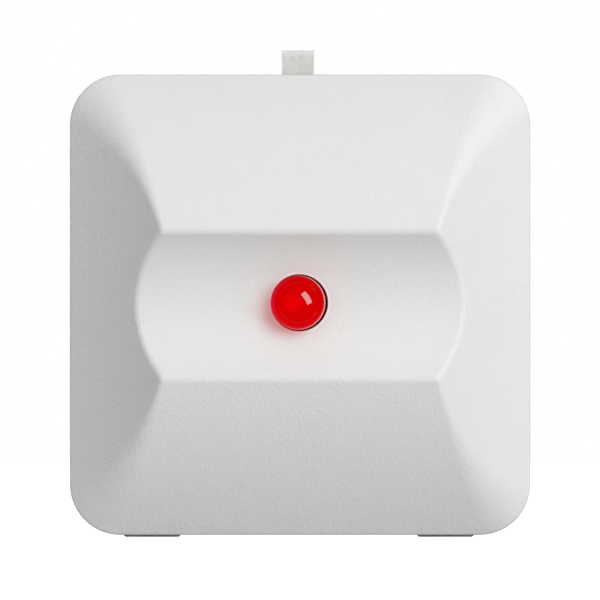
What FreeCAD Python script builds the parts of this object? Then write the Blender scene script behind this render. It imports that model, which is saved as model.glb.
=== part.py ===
import FreeCAD, Part
import math
import os
import Sketcher
from FreeCAD import Rotation, Vector

# Remote indicator lamp for a wall: a white moulded cover snapped over a translucent base,
# with a 10 mm red lamp on a small circuit board between them. Millimetres.
# +X is to the right, +Z is up, and the front of the lamp faces -Y. The wall is the plane y = 0
# and the origin is the middle of the two wall screw slots.

doc = FreeCAD.newDocument("remote_indicator_lamp")
sheet = doc.addObject("Spreadsheet::Sheet", "Sizes")

SIZES = {
    # cover, outer form
    "cover_width": "82",
    "cover_height": "82",
    "corner_radius": "9.1",
    "wall": "2",
    "rear_gap": "0.5",
    "rim_depth": "11",
    "crown_height": "13.9",
    "crown_radius": "82.4",
    "trough_width": "25.8",
    "trough_radius": "21.5",
    "flank_radius": "135",
    "flank_run": "16.65",
    "draft_angle": "1",
    "ridge_fillet": "1.9",
    "trough_end_fillet": "1.4",
    "hip_radius_ridge": "1.2",
    "hip_radius_rim": "29",
    "inner_hip_radius": "0.4",
    "rim_fillet": "0.6",
    # cover, lamp hole and inside
    "lamp_shift": "-0.12",
    "lamp_height": "0.34",
    "lamp_hole": "10",
    "lamp_hole_fillet": "0.15",
    "collar_diameter": "14",
    "collar_length": "3",
    "ledge_width": "7",
    "ledge_height": "1.1",
    "ledge_thickness": "1.2",
    "stop_rib_spacing": "40",
    "stop_rib_width": "1.2",
    "stop_rib_reach": "2.2",
    "stop_rib_length": "4.2",
    "seat_gap": "0.2",
    # base
    "fit_gap": "0.3",
    "base_plate": "2",
    "base_rim_height": "6.5",
    "base_rim_wall": "1.6",
    "cable_window_width": "24",
    "cable_window_height": "14",
    "cable_window_drop": "26",
    "cable_window_radius": "2",
    "cable_lip": "1",
    "screw_spacing": "60",
    "screw_slot_width": "4.4",
    "screw_slot_length": "7.5",
    "screw_pad_border": "2",
    "screw_pad_height": "0.8",
    # latch and lugs of the base
    "tab_width": "5.7",
    "tab_shift": "-0.4",
    "tab_reach": "4.28",
    "tab_thickness": "1.4",
    "tab_wall_gap": "0.6",
    "latch_thickness": "1.2",
    "latch_gap": "1.6",
    "latch_drop": "1.4",
    "latch_depth": "9",
    "nose_height": "1",
    "nose_land": "0.6",
    "nose_length": "2.5",
    "nose_depth": "4",
    "latch_side_gap": "0.8",
    "lug_spacing": "52.1",
    "lug_shift": "-0.24",
    "lug_width": "10.1",
    "lug_thickness": "2",
    "lug_depth": "4.2",
    "lug_reach": "0.25",
    "lug_chamfer": "0.3",
    "lug_gap": "0.3",
    # posts that carry the circuit board
    "post_diameter": "5",
    "post_height": "4",
    "post_inset": "3.5",
    "pin_diameter": "1.9",
    "pin_rise": "0.5",
    "pilot_diameter": "2.1",
    "pilot_depth": "3.5",
    # circuit board and its screws
    "board_width": "40",
    "board_height": "35",
    "board_thickness": "1.6",
    "board_corner": "1",
    "board_hole_gap": "0.1",
    "board_screw_hole": "2.4",
    "screw_shank": "2",
    "screw_length": "5",
    "screw_head": "4.2",
    "screw_head_height": "1.4",
    "screw_recess": "0.7",
    "screw_recess_width": "2.5",
    # lamp
    "led_shift": "-0.17",
    "led_rise": "0.03",
    "led_diameter": "9.6",
    "led_length": "13.3",
    "led_flange": "11",
    "led_flange_thickness": "1.5",
    "lead_pitch": "2.54",
    "lead_thickness": "0.5",
    "lead_tail": "1",
    "cup_radius": "1",
    "cup_depth": "5.4",
    "cup_height": "1.3",
    "cup_recess": "0.6",
    "lead_head": "0.9",
    "spacer_diameter": "9",
    "spacer_length": "6",
    "spacer_hole": "1",
    # terminal block
    "terminal_pitch": "5",
    "terminal_depth": "8.2",
    "terminal_height": "10",
    "terminal_inset": "5",
    "terminal_end_wall": "0.3",
    "terminal_bevel": "2.4",
    "cavity_width": "4.2",
    "cavity_height": "7.2",
    "cavity_back": "3.3",
    "cavity_front": "2.3",
    "entry_width": "3.2",
    "entry_bottom": "2",
    "entry_top": "5.2",
    "clamp_gap": "0.1",
    "cage_length": "3.8",
    "cage_bottom": "1.6",
    "cage_top": "6.8",
    "cage_wall": "0.6",
    "cage_roof": "1.2",
    "clamp_screw": "2.4",
    "clamp_head": "3.4",
    "clamp_head_height": "1.6",
    "clamp_shelf": "0.4",
    "clamp_slot": "0.5",
    "pin_width": "1",
    "pin_thickness": "0.8",
    "pin_bar": "4.4",
    "pin_bar_height": "5.3",
    # diodes, resistors and transistor
    "wire_diameter": "0.7",
    "wire_pitch": "10",
    "wire_bend": "1",
    "part_tail": "1",
    "part_clearance": "0.1",
    "diode_diameter": "2.6",
    "diode_length": "5",
    "diode_inset": "5.5",
    "diode_spacing": "4.5",
    "resistor_diameter": "2.3",
    "resistor_waist": "1.9",
    "resistor_length": "6.2",
    "resistor_cap": "0.9",
    "resistor_slope": "0.4",
    "resistor_inset": "4",
    "resistor_spacing": "4",
    "transistor_diameter": "4.6",
    "transistor_flat": "1.3",
    "transistor_height": "4.6",
    "transistor_stand": "1.5",
    "transistor_leg": "0.45",
    "transistor_pitch": "1.27",
    "transistor_side_inset": "7.6",
    "transistor_top_inset": "8.3",
}

for row, (alias, number) in enumerate(SIZES.items(), 1):
    sheet.set("A%d" % row, alias)
    sheet.set("B%d" % row, number)
    sheet.setAlias("B%d" % row, alias)
doc.recompute()

POLES = 4
POLE_X = ["(%g * Sizes.terminal_pitch)" % (pole - (POLES - 1) / 2) for pole in range(POLES)]

# Places that more than one piece uses, as expressions of the sheet, measured forwards from the wall.
RIDGE_HALF = "(Sizes.cover_width / 2 - Sizes.flank_run)"
RIDGE_FRONT = "(Sizes.rim_depth + Sizes.crown_height)"
TROUGH_SAG = "(Sizes.trough_radius - sqrt(Sizes.trough_radius ^ 2 - Sizes.trough_width ^ 2 / 4))"
TROUGH_FRONT = "(%s - %s)" % (RIDGE_FRONT, TROUGH_SAG)
COLLAR_BACK = "(%s - Sizes.wall - Sizes.collar_length)" % TROUGH_FRONT
INTO_WALL = "0.8 * Sizes.wall"
BOARD_BACK = "(Sizes.base_plate + Sizes.post_height)"
BOARD_FRONT = "(%s + Sizes.board_thickness)" % BOARD_BACK
LED_BACK = "(%s + Sizes.spacer_length)" % BOARD_FRONT
LED_X = "(Sizes.lamp_shift + Sizes.led_shift)"
LED_Z = "(Sizes.lamp_height + Sizes.led_rise)"
INNER_TOP = "(Sizes.cover_height / 2 - Sizes.wall)"
LATCH_TOP = "(%s - Sizes.latch_drop)" % INNER_TOP
LEDGE_BACK = "(Sizes.nose_depth - Sizes.seat_gap - Sizes.ledge_thickness)"
LATCH_HALF_OPENING = "(Sizes.tab_width / 2 + Sizes.latch_side_gap)"

Constraint = Sketcher.Constraint
HORIZONTAL_AXIS, VERTICAL_AXIS = range(-1, -3, -1)
START, END, CENTRE = range(1, 4)
TOUCH = 0.01


def size(alias):
    return float(getattr(sheet, alias))


def amount(holder, text):
    return float(holder.evalExpression(text))


# Sketch helpers: every size in a sketch is a constraint bound to the sheet.

def drive(sketch, kind, *items, by):
    index = sketch.addConstraint(Constraint(kind, *items, amount(sketch, by)))
    sketch.setExpression("Constraints[%d]" % index, by)


def pin_point(sketch, item, place, x, y):
    if x == "0":
        sketch.addConstraint(Constraint("PointOnObject", item, place, VERTICAL_AXIS))
    else:
        drive(sketch, "DistanceX", HORIZONTAL_AXIS, START, item, place, by=x)
    if y == "0":
        sketch.addConstraint(Constraint("PointOnObject", item, place, HORIZONTAL_AXIS))
    else:
        drive(sketch, "DistanceY", HORIZONTAL_AXIS, START, item, place, by=y)


def spot(sketch, x, y):
    return Vector(amount(sketch, x), amount(sketch, y), 0)


def ring(centre, radius):
    return Part.Circle(Vector(centre[0], centre[1], 0), Vector(0, 0, 1), radius)


def arc_between(centre, radius, start, end):
    first = math.atan2(start[1] - centre[1], start[0] - centre[0])
    last = math.atan2(end[1] - centre[1], end[0] - centre[0])
    return Part.ArcOfCircle(ring(centre, radius), first, last)


def circle(sketch, x, y, diameter):
    middle = spot(sketch, x, y)
    item = sketch.addGeometry(ring(middle, amount(sketch, diameter) / 2), False)
    pin_point(sketch, item, CENTRE, x, y)
    drive(sketch, "Diameter", item, by=diameter)


def polygon(sketch, corners):
    spots = [spot(sketch, x, y) for x, y in corners]
    count = len(spots)
    lines = [
        sketch.addGeometry(Part.LineSegment(spots[k], spots[(k + 1) % count]), False)
        for k in range(count)
    ]
    for k in range(count):
        sketch.addConstraint(Constraint("Coincident", lines[k], END, lines[(k + 1) % count], START))
    for line, (x, y) in zip(lines, corners):
        pin_point(sketch, line, START, x, y)


def rectangle(sketch, left, right, low, high):
    polygon(sketch, [(left, low), (right, low), (right, high), (left, high)])


def rounded_rectangle(sketch, half_width, half_height, radius, rise="0"):
    wide = amount(sketch, half_width)
    tall = amount(sketch, half_height)
    bend = amount(sketch, radius)
    level = amount(sketch, rise)
    right = wide - bend
    high = tall - bend
    centres = [(right, -high), (right, high), (-right, high), (-right, -high)]
    arcs = []
    for turn, (x, y) in enumerate(centres):
        start = (turn - 1) * math.pi / 2
        arc = Part.ArcOfCircle(ring((x, y + level), bend), start, start + math.pi / 2)
        arcs.append(sketch.addGeometry(arc, False))
    sides = []
    for turn in range(4):
        before = sketch.Geometry[arcs[turn - 1]].EndPoint
        after = sketch.Geometry[arcs[turn]].StartPoint
        sides.append(sketch.addGeometry(Part.LineSegment(before, after), False))
    for turn in range(4):
        sketch.addConstraint(Constraint("Tangent", arcs[turn - 1], END, sides[turn], START))
        sketch.addConstraint(Constraint("Tangent", sides[turn], END, arcs[turn], START))
    bottom, right, top, left = sides
    sketch.addConstraint([Constraint("Horizontal", bottom), Constraint("Horizontal", top)])
    sketch.addConstraint([Constraint("Vertical", left), Constraint("Vertical", right)])
    for turn in range(3):
        sketch.addConstraint(Constraint("Equal", arcs[turn], arcs[turn + 1]))
    drive(sketch, "Radius", arcs[0], by=radius)
    drive(sketch, "DistanceX", HORIZONTAL_AXIS, START, right, START, by=half_width)
    drive(sketch, "DistanceX", HORIZONTAL_AXIS, START, left, START, by="-%s" % half_width)
    drive(sketch, "DistanceY", HORIZONTAL_AXIS, START, top, START, by="%s + %s" % (half_height, rise))
    drive(sketch, "DistanceY", HORIZONTAL_AXIS, START, bottom, START, by="%s - %s" % (rise, half_height))


def slot(sketch, x, width, length):
    middle = amount(sketch, x)
    bend = amount(sketch, width) / 2
    reach = amount(sketch, length) / 2 - bend
    right_arc = Part.ArcOfCircle(ring((middle + reach, 0), bend), -math.pi / 2, math.pi / 2)
    left_arc = Part.ArcOfCircle(ring((middle - reach, 0), bend), math.pi / 2, 3 * math.pi / 2)
    right = sketch.addGeometry(right_arc, False)
    left = sketch.addGeometry(left_arc, False)
    top = sketch.addGeometry(Part.LineSegment(right_arc.EndPoint, left_arc.StartPoint), False)
    bottom = sketch.addGeometry(Part.LineSegment(left_arc.EndPoint, right_arc.StartPoint), False)
    for before, after in [(right, top), (top, left), (left, bottom), (bottom, right)]:
        sketch.addConstraint(Constraint("Tangent", before, END, after, START))
    reach_text = "(%s - %s) / 2" % (length, width)
    drive(sketch, "Radius", right, by="%s / 2" % width)
    pin_point(sketch, right, CENTRE, "%s + %s" % (x, reach_text), "0")
    pin_point(sketch, left, CENTRE, "%s - %s" % (x, reach_text), "0")


# Body helpers: a sketch lies on an origin plane of its own body, moved along that plane's normal.
# On the XZ plane the normal points to the front, so start and length are depths from the wall.

def origin_plane(body, role):
    return next(item for item in body.Origin.OriginFeatures if item.Role == role)


def sketch_on(body, name, role, offset="0"):
    sketch = body.newObject("Sketcher::SketchObject", name)
    sketch.AttachmentSupport = [(origin_plane(body, role), "")]
    sketch.MapMode = "FlatFace"
    sketch.setExpression("AttachmentOffset.Base.z", offset)
    return sketch


def new_body(name):
    body = doc.addObject("PartDesign::Body", name)
    body.Label = name
    return body


def solid_volume(body):
    return 0.0 if body.Shape.isNull() else body.Shape.Volume


def extrude(body, kind, name, draw, start, length, role="XZ_Plane", middle=False, taper=None):
    before = solid_volume(body)
    sketch = sketch_on(body, "%s_%s_sketch" % (body.Name, name), role, start)
    draw(sketch)
    feature = body.newObject("PartDesign::" + kind, "%s_%s" % (body.Name, name))
    feature.Profile = sketch
    feature.setExpression("Length", length)
    feature.Midplane = middle
    feature.Reversed = kind == "Pocket" and not middle
    if taper:
        feature.setExpression("TaperAngle", taper)
    doc.recompute()
    grown = solid_volume(body) - before
    if grown <= 0 and kind == "Pad" or grown >= 0 and kind == "Pocket":
        raise RuntimeError("%s %s changes nothing" % (body.Name, name))
    return feature


def pad(body, name, draw, start, length, **options):
    return extrude(body, "Pad", name, draw, start, length, **options)


def pocket(body, name, draw, start, length, **options):
    return extrude(body, "Pocket", name, draw, start, length, **options)


def revolve(body, name, draw):
    sketch = sketch_on(body, "%s_%s_sketch" % (body.Name, name), "XY_Plane")
    draw(sketch)
    feature = body.newObject("PartDesign::Revolution", "%s_%s" % (body.Name, name))
    feature.Profile = sketch
    feature.ReferenceAxis = (sketch, ["V_Axis"])
    feature.Angle = 360
    doc.recompute()
    return feature


def put(item, x, depth, z):
    item.setExpression("Placement.Base.x", x)
    item.setExpression("Placement.Base.y", "-(%s)" % depth)
    item.setExpression("Placement.Base.z", z)
    doc.recompute()


def boolean(kind, name, base, tool):
    item = doc.addObject("Part::" + kind, name)
    item.Label = name
    item.Base = base
    item.Tool = tool
    doc.recompute()
    return item


def group(name, items):
    item = doc.addObject("Part::Compound", name)
    item.Label = name
    item.Links = items
    doc.recompute()
    return item


# Cover: the outer form is a crown profile, with the trough in it, crossed with a flank profile.

def circle_through(first, second, radius, side):
    middle = ((first[0] + second[0]) / 2, (first[1] + second[1]) / 2)
    along = (second[0] - first[0], second[1] - first[1])
    chord = math.hypot(*along)
    rise = side * math.sqrt(radius ** 2 - chord ** 2 / 4) / chord
    return (middle[0] - along[1] * rise, middle[1] + along[0] * rise)


def circles_meet(first, first_radius, second, second_radius, near):
    apart = math.dist(first, second)
    along = (first_radius ** 2 - second_radius ** 2 + apart ** 2) / (2 * apart)
    across = math.sqrt(first_radius ** 2 - along ** 2)
    unit = ((second[0] - first[0]) / apart, (second[1] - first[1]) / apart)
    foot = (first[0] + along * unit[0], first[1] + along * unit[1])
    spots = [
        (foot[0] - side * across * unit[1], foot[1] + side * across * unit[0])
        for side in (-1, 1)
    ]
    return min(spots, key=lambda place: math.dist(place, near))


def mirrored(place):
    return (place[0], -place[1])


def guide_point(sketch, x, y):
    item = sketch.addGeometry(Part.Point(spot(sketch, x, y)), True)
    pin_point(sketch, item, START, x, y)
    return item


def guide_circle(sketch, centre, radius_text, guides):
    item = sketch.addGeometry(ring(centre, amount(sketch, radius_text)), True)
    drive(sketch, "Radius", item, by=radius_text)
    for guide in guides:
        sketch.addConstraint(Constraint("PointOnObject", guide, START, item))
    return item


def crown_profile(sketch, inset):
    """Side view: crown arcs above and below, and the trough between their ridges."""
    offset = amount(sketch, inset)
    ridge = (-amount(sketch, RIDGE_FRONT), size("trough_width") / 2)
    rim = (-size("rim_depth"), size("cover_height") / 2)
    crown_centre = circle_through(ridge, rim, size("crown_radius"), -1)
    trough_centre = (-amount(sketch, TROUGH_FRONT) - size("trough_radius"), 0)
    crown_radius = size("crown_radius") - offset
    trough_radius = size("trough_radius") + offset
    corner = circles_meet(crown_centre, crown_radius, trough_centre, trough_radius, ridge)
    back = size("rim_depth")
    foot = (back, crown_centre[1] + math.sqrt(crown_radius ** 2 - (back - crown_centre[0]) ** 2))

    ridge_guide = guide_point(sketch, "-%s" % RIDGE_FRONT, "Sizes.trough_width / 2")
    rim_guide = guide_point(sketch, "-Sizes.rim_depth", "Sizes.cover_height / 2")
    crown_guide = guide_circle(sketch, crown_centre, "Sizes.crown_radius", [ridge_guide, rim_guide])
    trough_guide = guide_circle(sketch, trough_centre, "Sizes.trough_radius", [ridge_guide])

    upper = sketch.addGeometry(arc_between(crown_centre, crown_radius, foot, corner), False)
    trough = sketch.addGeometry(arc_between(trough_centre, trough_radius, mirrored(corner), corner), False)
    lower_arc = arc_between(mirrored(crown_centre), crown_radius, mirrored(corner), mirrored(foot))
    lower = sketch.addGeometry(lower_arc, False)
    back_line = Part.LineSegment(Vector(*mirrored(foot), 0), Vector(*foot, 0))
    closing = sketch.addGeometry(back_line, False)
    for before, after in [(lower, closing), (closing, upper)]:
        sketch.addConstraint(Constraint("Coincident", before, END, after, START))
    sketch.addConstraint([
        Constraint("Coincident", upper, CENTRE, crown_guide, CENTRE),
        Constraint("Coincident", trough, CENTRE, trough_guide, CENTRE),
        Constraint("Coincident", upper, END, trough, END),
        Constraint("Coincident", trough, START, lower, START),
        Constraint("Symmetric", upper, START, lower, END, HORIZONTAL_AXIS),
        Constraint("Symmetric", upper, END, lower, START, HORIZONTAL_AXIS),
        Constraint("Equal", upper, lower),
    ])
    drive(sketch, "Radius", upper, by="Sizes.crown_radius - %s" % inset)
    drive(sketch, "Radius", trough, by="Sizes.trough_radius + %s" % inset)
    drive(sketch, "DistanceX", HORIZONTAL_AXIS, START, closing, END, by="Sizes.rim_depth")


def flank_profile(sketch, inset):
    """Plan view: hollow arcs at the left and the right, running past the front and the back."""
    ridge = (amount(sketch, RIDGE_HALF), -amount(sketch, RIDGE_FRONT))
    rim = (size("cover_width") / 2, -size("rim_depth"))
    centre = circle_through(ridge, rim, size("flank_radius"), -1)
    radius = size("flank_radius") + amount(sketch, inset)
    front = ridge[1] - size("wall")
    back = size("wall")
    ends = [
        (centre[0] - math.sqrt(radius ** 2 - (level - centre[1]) ** 2), level)
        for level in (back, front)
    ]
    opposite = [(-x, y) for x, y in ends]

    ridge_guide = guide_point(sketch, RIDGE_HALF, "-%s" % RIDGE_FRONT)
    rim_guide = guide_point(sketch, "Sizes.cover_width / 2", "-Sizes.rim_depth")
    guide = guide_circle(sketch, centre, "Sizes.flank_radius", [ridge_guide, rim_guide])

    right = sketch.addGeometry(arc_between(centre, radius, ends[0], ends[1]), False)
    front_line = sketch.addGeometry(Part.LineSegment(Vector(*ends[1], 0), Vector(*opposite[1], 0)), False)
    left_arc = arc_between((-centre[0], centre[1]), radius, opposite[1], opposite[0])
    left = sketch.addGeometry(left_arc, False)
    back_line = sketch.addGeometry(Part.LineSegment(Vector(*opposite[0], 0), Vector(*ends[0], 0)), False)
    for before, after in [(right, front_line), (front_line, left), (left, back_line), (back_line, right)]:
        sketch.addConstraint(Constraint("Coincident", before, END, after, START))
    sketch.addConstraint([
        Constraint("Coincident", right, CENTRE, guide, CENTRE),
        Constraint("Symmetric", right, END, left, START, VERTICAL_AXIS),
        Constraint("Symmetric", right, START, left, END, VERTICAL_AXIS),
        Constraint("Equal", right, left),
    ])
    drive(sketch, "Radius", right, by="Sizes.flank_radius + %s" % inset)
    past_front = "-(%s + Sizes.wall)" % RIDGE_FRONT
    drive(sketch, "DistanceY", HORIZONTAL_AXIS, START, front_line, START, by=past_front)
    drive(sketch, "DistanceY", HORIZONTAL_AXIS, START, back_line, START, by="Sizes.wall")


def soften(form, name, ridge, trough_end, hip):
    """Rounds the ridges, the trough's ends and the four hips, whose radius grows towards the rim."""
    shape = form.Shape
    front = shape.BoundBox.YMin
    tips = [vertex.Point for vertex in shape.Vertexes if abs(vertex.Point.y - front) < TOUCH]
    trough_top = max(tip.z for tip in tips) + TOUCH

    def is_tip(place):
        return any((place - tip).Length < TOUCH for tip in tips)

    edges = []
    for index, edge in enumerate(shape.Edges, 1):
        ends = [edge.Vertexes[0].Point, edge.Vertexes[-1].Point]
        if not any(is_tip(end) for end in ends):
            continue
        starts_at_tip = is_tip(edge.Curve.value(edge.FirstParameter))
        if all(is_tip(end) for end in ends):
            near, far = ridge, ridge
        elif all(abs(end.z) < trough_top for end in ends):
            near, far = trough_end, trough_end
        else:
            near, far = hip
        if near > 0:
            edges.append((index, near, far) if starts_at_tip else (index, far, near))
    item = doc.addObject("Part::Fillet", name)
    item.Base = form
    item.Edges = edges
    doc.recompute()
    return item


def cover_form(name, inset, back, ridge, trough_end, hip):
    crown = new_body(name + "_crown")
    pad(
        crown, "profile", lambda s: crown_profile(s, inset),
        "0", "2 * Sizes.cover_width", role="YZ_Plane", middle=True,
    )
    flank = new_body(name + "_flank")
    pad(
        flank, "profile", lambda s: flank_profile(s, inset),
        "0", "2 * Sizes.cover_height", role="XY_Plane", middle=True,
    )
    crossed = boolean("Common", name + "_crossed", crown, flank)
    softened = soften(crossed, name + "_softened", ridge, trough_end, hip)
    block = new_body(name + "_block")
    half_width = "(Sizes.cover_width / 2 - %s)" % inset
    half_height = "(Sizes.cover_height / 2 - %s)" % inset
    radius = "(Sizes.corner_radius - %s)" % inset
    pad(
        block, "outline", lambda s: rounded_rectangle(s, half_width, half_height, radius),
        back, "%s + Sizes.wall" % RIDGE_FRONT, taper="-Sizes.draft_angle",
    )
    return boolean("Common", name + "_form", softened, block)


def rounded_rim(form, name, radius):
    """Rounds the edge where the sloping faces meet the side walls."""
    edges = []
    for index, edge in enumerate(form.Shape.Edges, 1):
        box = edge.BoundBox
        around = box.YMax < -size("rim_depth") + size("corner_radius") / 4
        low = box.YMin > -size("rim_depth") - size("corner_radius") / 4
        if around and low:
            edges.append((index, radius, radius))
    item = doc.addObject("Part::Fillet", name)
    item.Base = form
    item.Edges = edges
    doc.recompute()
    return item


def make_cover():
    outer = cover_form(
        "cover_outer", "0", "Sizes.rear_gap",
        ridge=size("ridge_fillet"), trough_end=size("trough_end_fillet"),
        hip=(size("hip_radius_ridge"), size("hip_radius_rim")),
    )
    outer = rounded_rim(outer, "cover_outer_rounded", size("rim_fillet"))
    inner = cover_form(
        "cover_inner", "Sizes.wall", "Sizes.rear_gap - Sizes.wall", ridge=0, trough_end=0,
        hip=(size("inner_hip_radius"), size("hip_radius_rim") - size("wall")),
    )
    shell = boolean("Cut", "cover_shell", outer, inner)

    cover = new_body("cover")
    cover.BaseFeature = shell
    doc.recompute()
    pad(
        cover, "collar",
        lambda s: circle(s, "Sizes.lamp_shift", "Sizes.lamp_height", "Sizes.collar_diameter"),
        COLLAR_BACK, "Sizes.collar_length + %s" % INTO_WALL,
    )
    pocket(
        cover, "lamp_hole",
        lambda s: circle(s, "Sizes.lamp_shift", "Sizes.lamp_height", "Sizes.lamp_hole"),
        "%s - Sizes.wall" % COLLAR_BACK, RIDGE_FRONT,
    )
    round_lamp_hole(cover)

    half_notch = "(Sizes.tab_width / 2 + Sizes.lug_gap)"
    tab_front = "(Sizes.tab_wall_gap + Sizes.tab_thickness)"
    pocket(
        cover, "tab_notch",
        lambda s: rectangle(
            s, "Sizes.tab_shift - %s" % half_notch, "Sizes.tab_shift + %s" % half_notch,
            "%s - Sizes.wall" % INNER_TOP, "Sizes.cover_height",
        ),
        "0", "%s + 2 * Sizes.lug_gap" % tab_front,
    )
    pad(
        cover, "latch_ledge",
        lambda s: rectangle(
            s, "Sizes.tab_shift - Sizes.ledge_width / 2", "Sizes.tab_shift + Sizes.ledge_width / 2",
            "%s - Sizes.ledge_height" % INNER_TOP, "%s + Sizes.wall / 2" % INNER_TOP,
        ),
        LEDGE_BACK, "Sizes.ledge_thickness",
    )

    def lug_windows(sketch):
        half = "(Sizes.lug_width / 2 + Sizes.lug_gap)"
        for sign in "-+":
            middle = "(Sizes.lug_shift %s Sizes.lug_spacing / 2)" % sign
            rectangle(
                sketch, "%s - %s" % (middle, half), "%s + %s" % (middle, half),
                "-Sizes.cover_height", "-(%s - Sizes.wall)" % INNER_TOP,
            )

    pocket(
        cover, "lug_windows", lug_windows,
        "Sizes.lug_depth - Sizes.lug_gap", "Sizes.lug_thickness + 2 * Sizes.lug_gap",
    )

    def stop_ribs(sketch):
        inside = "(Sizes.cover_width / 2 - Sizes.wall - Sizes.stop_rib_reach)"
        outside = "(Sizes.cover_width / 2 - Sizes.wall / 2)"
        half = "Sizes.stop_rib_width / 2"
        for sign in ("-", ""):
            middle = "%sSizes.stop_rib_spacing / 2" % sign
            low, high = "%s - %s" % (middle, half), "%s + %s" % (middle, half)
            rectangle(sketch, inside, outside, low, high)
            rectangle(sketch, "-" + outside, "-" + inside, low, high)

    pad(cover, "stop_ribs", stop_ribs, "Sizes.base_rim_height + Sizes.seat_gap", "Sizes.stop_rib_length")
    return cover


def round_lamp_hole(cover):
    """A small round on the outer edge of the lamp hole, where it cuts the trough."""
    front = amount(cover, TROUGH_FRONT)
    reach = size("lamp_hole") / 2
    middle = size("lamp_shift")
    names = []
    for index, edge in enumerate(cover.Shape.Edges, 1):
        box = edge.BoundBox
        near_hole = abs(box.XMin - middle) < reach + 0.1 and abs(box.XMax - middle) < reach + 0.1
        if near_hole and box.YMax < -front + 0.1 and abs(box.Center.z - size("lamp_height")) < reach:
            names.append("Edge%d" % index)
    feature = cover.newObject("PartDesign::Fillet", "cover_lamp_hole_round")
    feature.Base = (cover.Group[-2], names)
    feature.setExpression("Radius", "Sizes.lamp_hole_fillet")
    doc.recompute()


# Base: plate, rim, spring latch, lugs and board posts in one moulding.

BASE_HALF_WIDTH = "(Sizes.cover_width / 2 - Sizes.wall - Sizes.fit_gap)"
BASE_HALF_HEIGHT = "(Sizes.cover_height / 2 - Sizes.wall - Sizes.fit_gap)"
BASE_CORNER = "(Sizes.corner_radius - Sizes.wall - Sizes.fit_gap)"
POST_X = "(Sizes.board_width / 2 - Sizes.post_inset)"
POST_Z = "(Sizes.board_height / 2 - Sizes.post_inset)"
SCREW_POSTS = [("-" + POST_X, POST_Z), (POST_X, "-" + POST_Z)]
PIN_POSTS = [(POST_X, POST_Z), ("-" + POST_X, "-" + POST_Z)]


def circles(sketch, places, diameter):
    for x, z in places:
        circle(sketch, x, z, diameter)


def latch_profile(sketch):
    """Side view of the spring latch: inner leg, bend, outer leg with its nose, and finger tab."""
    bend_front = "-Sizes.latch_depth"
    root = "-Sizes.base_plate / 2"
    outer_top = LATCH_TOP
    outer_low = "(%s - Sizes.latch_thickness)" % outer_top
    inner_top = "(%s - Sizes.latch_gap)" % outer_low
    inner_low = "(%s - Sizes.latch_thickness)" % inner_top
    nose_back = "-Sizes.nose_depth"
    nose_top = "(%s + Sizes.nose_height)" % outer_top
    tab_back = "-Sizes.tab_wall_gap"
    tab_front = "-(Sizes.tab_wall_gap + Sizes.tab_thickness)"
    tab_top = "(Sizes.cover_height / 2 + Sizes.tab_reach)"
    corners = [
        (bend_front, outer_top),
        ("%s - Sizes.nose_length" % nose_back, outer_top),
        ("%s - Sizes.nose_land" % nose_back, nose_top),
        (nose_back, nose_top),
        (nose_back, outer_top),
        (tab_front, outer_top),
        (tab_front, tab_top),
        (tab_back, tab_top),
        (tab_back, outer_low),
        (bend_front, outer_low),
        (bend_front, inner_top),
        (root, inner_top),
        (root, inner_low),
        (bend_front, inner_low),
    ]
    bends = {9: "Sizes.latch_gap / 2", 13: "Sizes.latch_gap / 2 + Sizes.latch_thickness"}
    spots = [spot(sketch, x, y) for x, y in corners]
    middle = (spots[9] + spots[10]) / 2
    items = []
    for k, start in enumerate(spots):
        end = spots[(k + 1) % len(spots)]
        if k in bends:
            arc = Part.ArcOfCircle(ring(middle, (start - middle).Length), math.pi / 2, 3 * math.pi / 2)
            items.append(sketch.addGeometry(arc, False))
        else:
            items.append(sketch.addGeometry(Part.LineSegment(start, end), False))

    def ends(k):
        # both bends run from their upper to their lower end, and the outer one is met the other way
        return (END, START) if k == 13 else (START, END)

    count = len(items)
    for k in range(count):
        following = (k + 1) % count
        sketch.addConstraint(
            Constraint("Coincident", items[k], ends(k)[1], items[following], ends(following)[0])
        )
    for k, (x, y) in enumerate(corners):
        pin_point(sketch, items[k], ends(k)[0], x, y)
    for k in bends:
        drive(sketch, "DistanceX", HORIZONTAL_AXIS, START, items[k], CENTRE, by=bend_front)


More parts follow.
